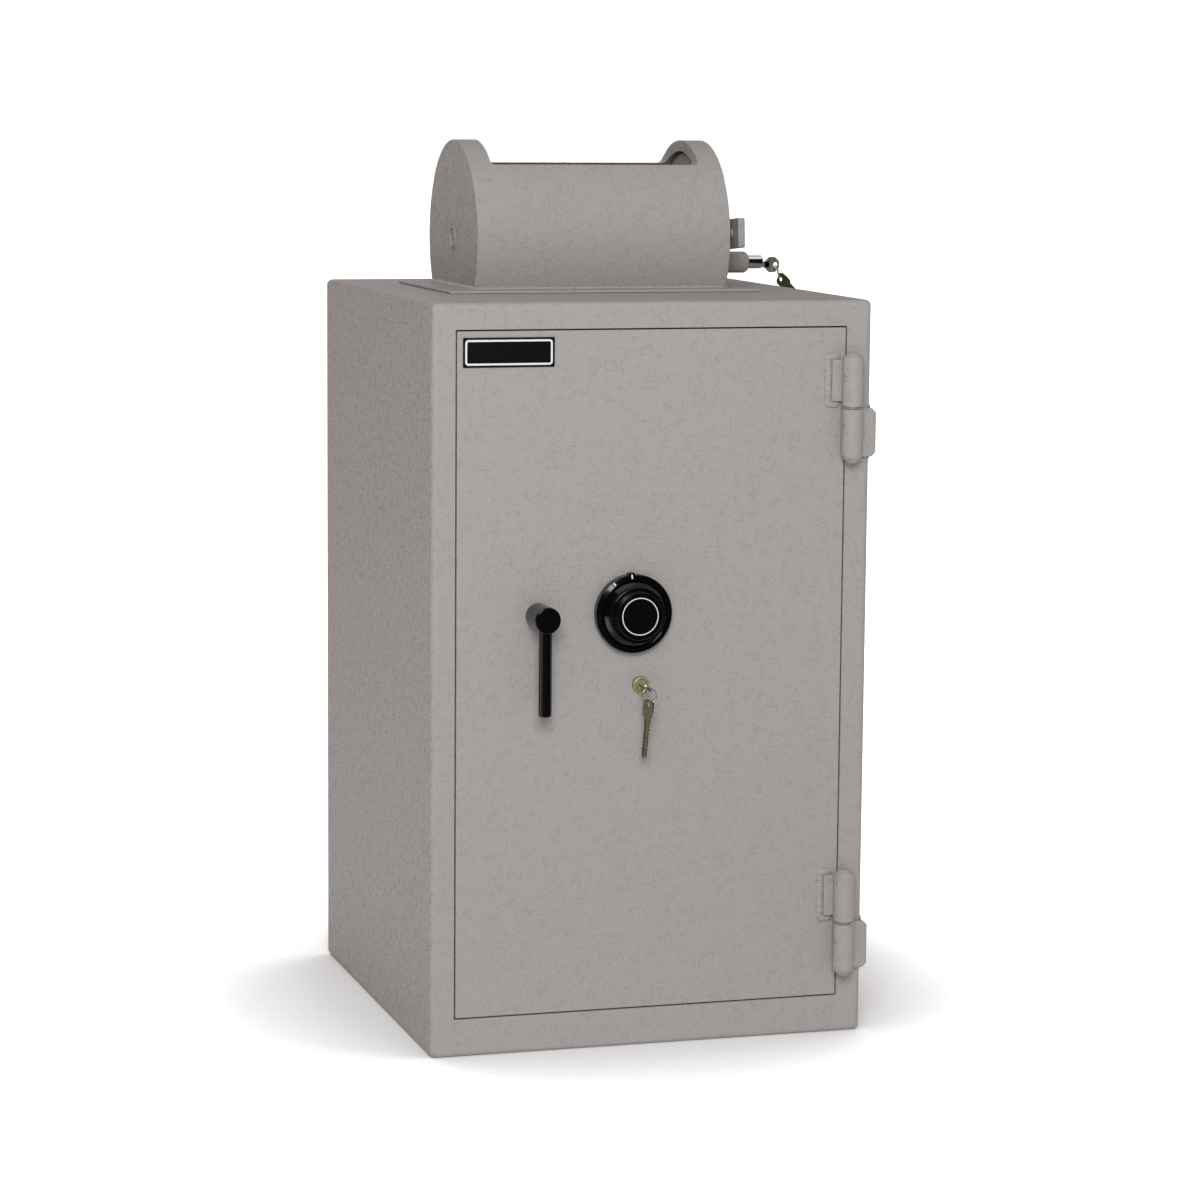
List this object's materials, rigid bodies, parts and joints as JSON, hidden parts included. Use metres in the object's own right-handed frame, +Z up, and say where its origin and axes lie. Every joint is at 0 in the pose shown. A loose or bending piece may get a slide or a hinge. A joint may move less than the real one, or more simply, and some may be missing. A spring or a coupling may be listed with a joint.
{
  "type": "rotary hopper safe",
  "caption": "Plate steel depository safe: flush door with combination dial, key lock and lever, and a locked rotary hopper drum on top that drops deposits inside.",
  "frame": {"origin": "middle of the cabinet underside", "axes": "+Z up, +X to the right seen from the front, -Y out of the door"},
  "size_m": [0.5104, 0.539, 0.964],
  "materials": {
    "wrinkle_paint": "wrinkle textured warm grey paint",
    "side_paint": "wrinkle textured warm grey paint",
    "black_gloss": "black gloss enamel",
    "label_black": "black enamelled plate with a thin white line",
    "bare_steel": "bare machined steel",
    "zinc_plate": "zinc plated steel",
    "brass": "machined brass",
    "cast_alloy": "die cast alloy",
    "chrome": "polished chrome",
    "key_nickel": "worn nickel plated brass",
    "ring_wire": "nickel plated spring wire"
  },
  "bodies": {
    "cabinet": {"body_wrap": "side_paint", "back_plate": "side_paint", "front_frame": "wrinkle_paint", "door_stop_top": "side_paint", "door_stop_bottom": "side_paint", "hopper_base": "wrinkle_paint", "hopper_shell": "wrinkle_paint", "hopper_cap_left": "side_paint", "hopper_cap_right": "wrinkle_paint", "shaft_bush_left": "bare_steel", "shaft_bush_right": "wrinkle_paint", "lock_tube": "wrinkle_paint", "hinge_lower_knuckle_top": "wrinkle_paint", "hinge_lower_knuckle_bottom": "wrinkle_paint", "hinge_pin_top": "bare_steel", "hinge_pin_bottom": "bare_steel", "hinge_washer_top": "zinc_plate", "hinge_washer_bottom": "zinc_plate"},
    "door": {"door_plate": "wrinkle_paint", "hinge_upper_knuckle_top": "wrinkle_paint", "hinge_upper_knuckle_bottom": "wrinkle_paint", "label_plate": "label_black", "dial_ring": "black_gloss", "bolt_guide": "bare_steel", "bar_post_lower": "zinc_plate", "bar_post_upper": "zinc_plate", "dead_bar": "bare_steel", "lock_case": "cast_alloy", "lock_cover": "cast_alloy", "key_cylinder": "brass", "key_lock_case": "cast_alloy"},
    "lever": {"lever_hub": "black_gloss", "lever_rod": "black_gloss", "lever_cam": "bare_steel"},
    "boltwork": {"bolt_bar": "bare_steel", "bolt_1": "zinc_plate", "bolt_2": "zinc_plate", "bolt_3": "zinc_plate"},
    "dial": {"dial_knob": "black_gloss", "spindle": "bare_steel", "wheel_1": "brass", "wheel_2": "brass", "wheel_3": "brass", "drive_cam": "brass"},
    "lock_bolt": {"lock_bolt": "brass"},
    "door_lock_plug": {"key_plug": "brass", "door_key": "key_nickel"},
    "key_lock_bolt": {"key_lock_bolt": "brass"},
    "door_key_ring": {"door_key_ring": "ring_wire"},
    "door_spare_key": {"door_spare_key": "key_nickel"},
    "drum": {"drum_trough": "side_paint", "drum_end_left": "side_paint", "drum_end_right": "side_paint", "handle_bar": "wrinkle_paint", "handle_bolt": "wrinkle_paint"},
    "push_lock": {"push_lock_barrel": "chrome"},
    "push_lock_plug": {"push_lock_plug": "chrome", "hopper_key": "key_nickel"},
    "hopper_key_ring": {"hopper_key_ring": "ring_wire"},
    "hopper_spare_key": {"hopper_spare_key": "key_nickel"}
  },
  "joints": [
    {"name": "door_hinge", "type": "hinge", "parent": "cabinet", "child": "door", "pos_m": [0.21715, -0.2625, 0.4], "axis": [0, 0, 1], "range_deg": [0, 180]},
    {"name": "lever_turn", "type": "hinge", "parent": "door", "child": "lever", "pos_m": [-0.1265, -0.25, 0.4708], "axis": [0, 1, 0], "range_deg": [0, 90]},
    {"name": "bolt_throw", "type": "slide", "parent": "door", "child": "boltwork", "axis": [-1, 0, 0], "range_m": [0, 0.02]},
    {"name": "dial_turn", "type": "hinge", "parent": "door", "child": "dial", "pos_m": [-0.0236, -0.25, 0.4709], "axis": [0, 1, 0], "continuous": true},
    {"name": "lock_bolt_slide", "type": "slide", "parent": "door", "child": "lock_bolt", "axis": [0, 0, -1], "range_m": [0, 0.008]},
    {"name": "door_key_turn", "type": "hinge", "parent": "door", "child": "door_lock_plug", "pos_m": [-0.0134, -0.25, 0.3935], "axis": [0, 1, 0], "range_deg": [0, 90]},
    {"name": "key_bolt_lift", "type": "slide", "parent": "door", "child": "key_lock_bolt", "axis": [0, 0, 1], "range_m": [0, 0.0065]},
    {"name": "door_ring_swing", "type": "hinge", "parent": "door_lock_plug", "child": "door_key_ring", "pos_m": [-0.01295, -0.2748, 0.3931], "axis": [-0.9848, 0, -0.1736], "range_deg": [-5, 40]},
    {"name": "door_spare_swing", "type": "hinge", "parent": "door_key_ring", "child": "door_spare_key", "pos_m": [-0.01154, -0.2748, 0.37692], "axis": [-1, 0, 0], "range_deg": [-5, 30]},
    {"name": "hopper_turn", "type": "hinge", "parent": "cabinet", "child": "drum", "pos_m": [0.005, 0.055, 0.856], "axis": [-1, 0, 0], "range_deg": [0, 180]},
    {"name": "push_lock_slide", "type": "slide", "parent": "cabinet", "child": "push_lock", "axis": [-1, 0, 0], "range_m": [0, 0.004]},
    {"name": "push_lock_key_turn", "type": "hinge", "parent": "push_lock", "child": "push_lock_plug", "pos_m": [0.2225, 0.055, 0.8264], "axis": [1, 0, 0], "range_deg": [0, 90]},
    {"name": "hopper_ring_swing", "type": "hinge", "parent": "push_lock_plug", "child": "hopper_key_ring", "pos_m": [0.2396, 0.055, 0.8229], "axis": [-0.4226, -0.9063, 0], "range_deg": [0, 40]},
    {"name": "hopper_spare_swing", "type": "hinge", "parent": "hopper_key_ring", "child": "hopper_spare_key", "pos_m": [0.24561, 0.0522, 0.80801], "axis": [-0.9063, -0.4226, 0], "range_deg": [-12, 15]}
  ],
  "couplings": [
    {"joint": "bolt_throw", "follows": "lever_turn", "m_per_rad": 0.012732},
    {"joint": "key_bolt_lift", "follows": "door_key_turn", "m_per_rad": 0.004138}
  ]
}
